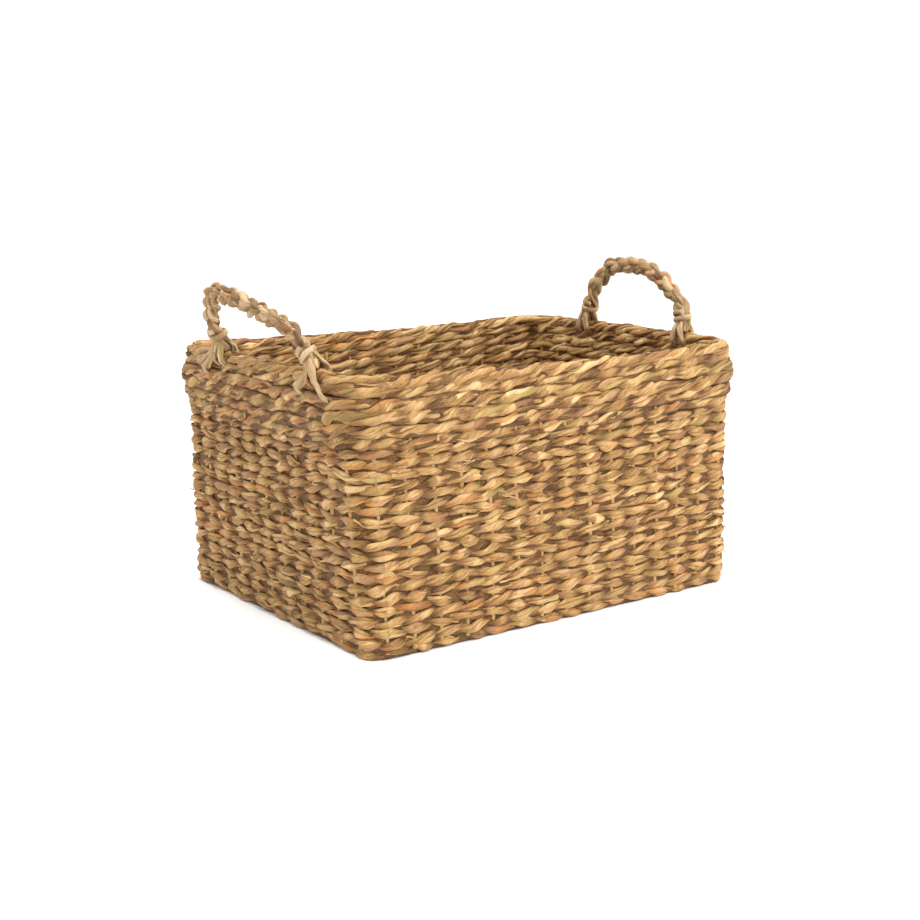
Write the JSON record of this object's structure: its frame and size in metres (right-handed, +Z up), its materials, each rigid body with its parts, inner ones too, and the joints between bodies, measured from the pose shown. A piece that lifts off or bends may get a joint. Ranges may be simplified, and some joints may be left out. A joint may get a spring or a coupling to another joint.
{
  "type": "seagrass storage basket",
  "caption": "Rectangular open storage basket of twined seagrass with a turned-over rim and a braided rope handle on each short side.",
  "frame": {"origin": "on the floor, under the middle of the basket's resting face", "axes": "+X along the long sides, +Y along the short sides away from the front, +Z up"},
  "size_m": [0.4368, 0.2982, 0.2832],
  "materials": {
    "weave": "dry twisted seagrass, matt with a faint sheen on the ribs",
    "rim": "thicker, paler twisted seagrass, matt",
    "stake": "stiff bundled seagrass, matt",
    "braid": "plaited three-strand seagrass rope, matt"
  },
  "bodies": {
    "basket": {"cuff_course_1": "rim", "cuff_course_2": "rim", "cuff_course_3": "rim", "cuff_course_4": "rim", "cuff_course_5": "rim", "floor_strip_1": "weave", "floor_strip_2": "weave", "floor_strip_3": "weave", "floor_strip_4": "weave", "floor_strip_5": "weave", "floor_strip_6": "weave", "floor_strip_7": "weave", "floor_strip_8": "weave", "floor_strip_9": "weave", "handle_left_tail_back": "braid", "handle_left_tail_front": "braid", "handle_right_tail_back": "braid", "handle_right_tail_front": "braid", "inner_course_1": "weave", "inner_course_2": "weave", "inner_course_3": "weave", "inner_course_4": "weave", "inner_course_5": "weave", "rim_rope": "rim", "stake_ends_back": "stake", "stake_ends_front": "stake", "stake_ends_left": "stake", "stake_ends_right": "stake", "stakes_back": "stake", "stakes_front": "stake", "stakes_left": "stake", "stakes_right": "stake", "wall_course_01": "weave", "wall_course_02": "weave", "wall_course_03": "weave", "wall_course_04": "weave", "wall_course_05": "weave", "wall_course_06": "weave", "wall_course_07": "weave", "wall_course_08": "weave", "wall_course_09": "weave", "wall_course_10": "weave", "wall_course_11": "weave", "wall_course_12": "weave", "wall_course_13": "weave", "wall_course_14": "weave", "wall_course_15": "weave", "wall_course_16": "weave", "wall_course_17": "weave", "wall_course_18": "weave", "wall_course_19": "weave"},
    "handle_left": {"handle_left": "braid", "handle_left_binding_back": "braid", "handle_left_binding_front": "braid"},
    "handle_right": {"handle_right": "braid", "handle_right_binding_back": "braid", "handle_right_binding_front": "braid"}
  },
  "joints": [
    {"name": "left_handle_hinge", "type": "hinge", "parent": "basket", "child": "handle_left", "pos_m": [-0.2, 0, 0.2142], "axis": [0, 1, 0], "range_deg": [-27, 63]},
    {"name": "right_handle_hinge", "type": "hinge", "parent": "basket", "child": "handle_right", "pos_m": [0.2, 0, 0.2142], "axis": [0, 1, 0], "range_deg": [-45, 45]}
  ]
}
